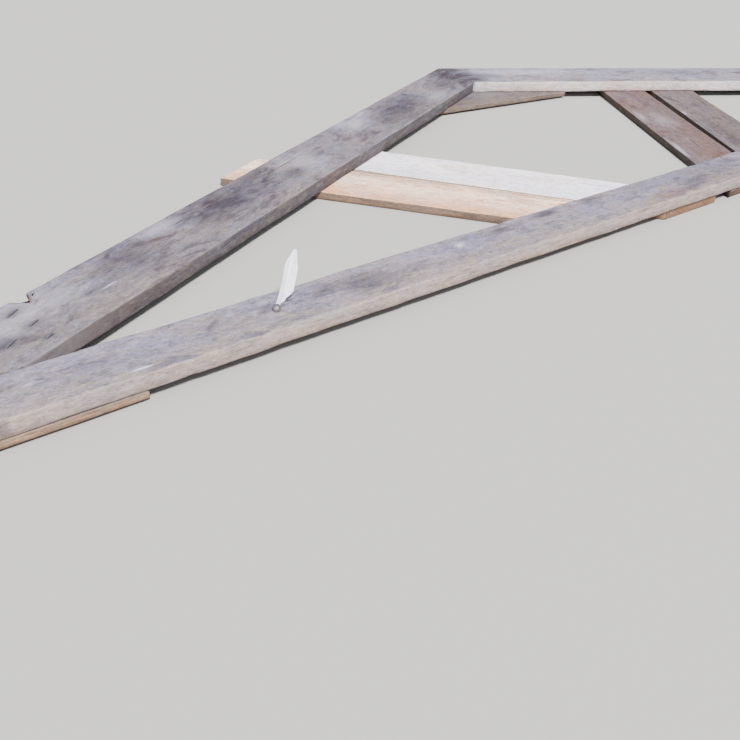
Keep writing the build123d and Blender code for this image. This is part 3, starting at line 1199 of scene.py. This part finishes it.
class TRUSS_OT_timbers(bpy.types.Operator):
    """Build the two rafters and the bottom chord"""

    bl_idname = "truss.timbers"
    bl_label = "Timbers"

    def execute(self, context):
        return build_boards(context, "bottom_chord", "left_rafter", "right_rafter")


class TRUSS_OT_web_boards(bpy.types.Operator):
    """Build the four slanted web boards"""

    bl_idname = "truss.web_boards"
    bl_label = "Web Boards"

    def execute(self, context):
        build_boards(context, "left_web_inner", "left_web_outer")
        build_boards(context, "right_web_inner", "right_web_outer")
        add_piece("joint_dirt_and_shade", joint_dirt_and_shade("joint_dirt_and_shade"), dirt_and_joint_shade())
        return {"FINISHED"}


class TRUSS_OT_gussets(bpy.types.Operator):
    """Build the board gussets at the ridge and the heels"""

    bl_idname = "truss.gussets"
    bl_label = "Gussets"

    def execute(self, context):
        return build_boards(context, "apex_gusset", "left_heel_gusset", "right_heel_gusset")


class TRUSS_OT_nails(bpy.types.Operator):
    """Build the nail heads under the laps and the points hammered over on top"""

    bl_idname = "truss.nails"
    bl_label = "Nails"

    def execute(self, context):
        source = np.random.default_rng(5)
        joined = Joined()
        boards = {node: Board(node) for node in BOARDS}
        chord = boards["bottom_chord"]
        for side in ("left", "right"):
            rafter = boards[side + "_rafter"]
            for web in ("inner", "outer"):
                board = boards[f"{side}_web_{web}"]
                nailed_lap(joined, rafter, board, source, 0.0, RAFTER_LAP)
                nailed_lap(joined, chord, board, source, 0.0, CHORD_LAP)
            nailed_lap(joined, rafter, boards["apex_gusset"], source, PROUD, APEX_LAP)
            mirror = 1 if side == "left" else -1
            under = boards[side + "_heel_gusset"].low
            for start, stop in HEEL_POINTS:
                start, stop = (start[0] * mirror, start[1]), (stop[0] * mirror, stop[1])
                clinched_point(joined, start, stop, SPIKE_RADIUS)
                nail_head(joined, *start, under, PROUD)
            for x, y in HEEL_CHORD_HEADS:
                nail_head(joined, x * mirror, y, under, PROUD)
        for start, stop in RAFTER_POINTS:
            clinched_point(joined, start, stop)
        add_piece("clinched_nails", joined.mesh("clinched_nails"), rusty_iron())
        return {"FINISHED"}


class TRUSS_OT_tin_strip(bpy.types.Operator):
    """Build the bent tin leaf, its washer and the nail that holds it"""

    bl_idname = "truss.tin_strip"
    bl_label = "Tin Strip"

    def execute(self, context):
        leaf = strip_mesh("bent_tin_leaf")
        add_piece("bent_tin_leaf", leaf, dull_tin(), "nailed_strip")
        toward = STRIP_HEADING + math.pi
        lean = Matrix.Rotation(WASHER_LEAN, 4, Vector((-math.sin(toward), math.cos(toward), 0)))
        centre = Matrix.Translation((*NAIL_PLACE, TIMBER_TOP + WASHER_LIFT))
        washer = Joined()
        washer.add(*turned(WASHER_RING, 28, True), centre @ lean)
        add_piece("rusty_washer", washer.mesh("rusty_washer"), rusty_iron())
        head = Joined()
        head.add(*turned(STRIP_NAIL_HEAD, 20), centre @ lean)
        head.add(*turned(STRIP_NAIL_SHANK, 10), centre)
        add_piece("strip_nail", head.mesh("strip_nail"), worn_steel())
        return {"FINISHED"}


class TRUSS_OT_stage(bpy.types.Operator):
    """Set the floor, the soft light and the camera"""

    bl_idname = "truss.stage"
    bl_label = "Stage"

    def execute(self, context):
        settings = context.scene.truss_stage
        scene = context.scene
        mesh = bpy.data.meshes.new("floor")
        corners = [(-1, -1, 0), (1, -1, 0), (1, 1, 0), (-1, 1, 0)]
        mesh.from_pydata([FLOOR_REACH * Vector(corner) for corner in corners], [], [(0, 1, 2, 3)])
        floor = put("floor", mesh)
        shader = Shader("pale_floor")
        shader.feed(shader.surface.inputs["Base Color"], (*settings.floor_colour, 1.0))
        shader.feed(shader.surface.inputs["Roughness"], 0.9)
        mesh.materials.append(shader.material)
        self.light(scene, settings)
        self.camera(scene, settings)
        return {"FINISHED"}

    def light(self, scene, settings):
        world = bpy.data.worlds.new("studio")
        scene.world = world
        world.use_nodes = True
        background = world.node_tree.nodes["Background"]
        background.inputs["Color"].default_value = SKY_COLOUR
        background.inputs["Strength"].default_value = settings.sky
        lamp = bpy.data.lights.new("key", "SUN")
        lamp.energy = settings.key
        lamp.angle = settings.key_angle
        lamp.color = SUN_COLOUR
        key = put("key", lamp)
        towards = Vector(settings.key_towards).normalized()
        key.rotation_euler = towards.to_track_quat("-Z", "Y").to_euler()

    def camera(self, scene, settings):
        data = bpy.data.cameras.new("camera")
        data.lens = settings.lens
        data.sensor_width = FRAME_WIDTH
        camera = put("camera", data)
        aim = Matrix.Rotation(-settings.heading, 4, "Z")
        aim = aim @ Matrix.Rotation(math.pi / 2 - settings.dip, 4, "X")
        aim = aim @ Matrix.Rotation(settings.roll, 4, "Z")
        camera.matrix_world = Matrix.Translation(settings.eye) @ aim
        scene.camera = camera


class TRUSS_PT_panel(bpy.types.Panel):
    """The truss, piece by piece"""

    bl_label = "Roof Truss"
    bl_idname = "TRUSS_PT_panel"
    bl_space_type = "VIEW_3D"
    bl_region_type = "UI"
    bl_category = "Truss"

    def draw(self, context):
        layout = self.layout
        looks = context.scene.truss_looks
        groups = [context.scene.truss_boards, context.scene.truss_stage]
        for group in groups + [getattr(looks, kind) for kind in LOOKS]:
            column = layout.column(align=True)
            for name in group.__annotations__:
                column.prop(group, name)
        for step in STEPS:
            layout.operator(step.bl_idname)


GROUPS = {
    "truss_boards": TrussBoardSettings,
    "truss_looks": TrussLooks,
    "truss_stage": TrussStageSettings,
}
STEPS = (
    TRUSS_OT_timbers, TRUSS_OT_web_boards, TRUSS_OT_gussets, TRUSS_OT_nails, TRUSS_OT_tin_strip,
    TRUSS_OT_stage,
)


def register():
    bpy.utils.register_class(TrussLook)
    for name, group in GROUPS.items():
        bpy.utils.register_class(group)
        setattr(bpy.types.Scene, name, PointerProperty(type=group))
    for made in STEPS + (TRUSS_PT_panel,):
        bpy.utils.register_class(made)


def unregister():
    for made in (TRUSS_PT_panel,) + STEPS[::-1]:
        bpy.utils.unregister_class(made)
    for name, group in GROUPS.items():
        delattr(bpy.types.Scene, name)
        bpy.utils.unregister_class(group)
    bpy.utils.unregister_class(TrussLook)


def main():
    register()
    bpy.context.scene.truss_looks.fill()
    bpy.ops.truss.timbers()
    bpy.ops.truss.web_boards()
    bpy.ops.truss.gussets()
    bpy.ops.truss.nails()
    bpy.ops.truss.tin_strip()
    bpy.ops.truss.stage()


if __name__ == "__main__":
    main()
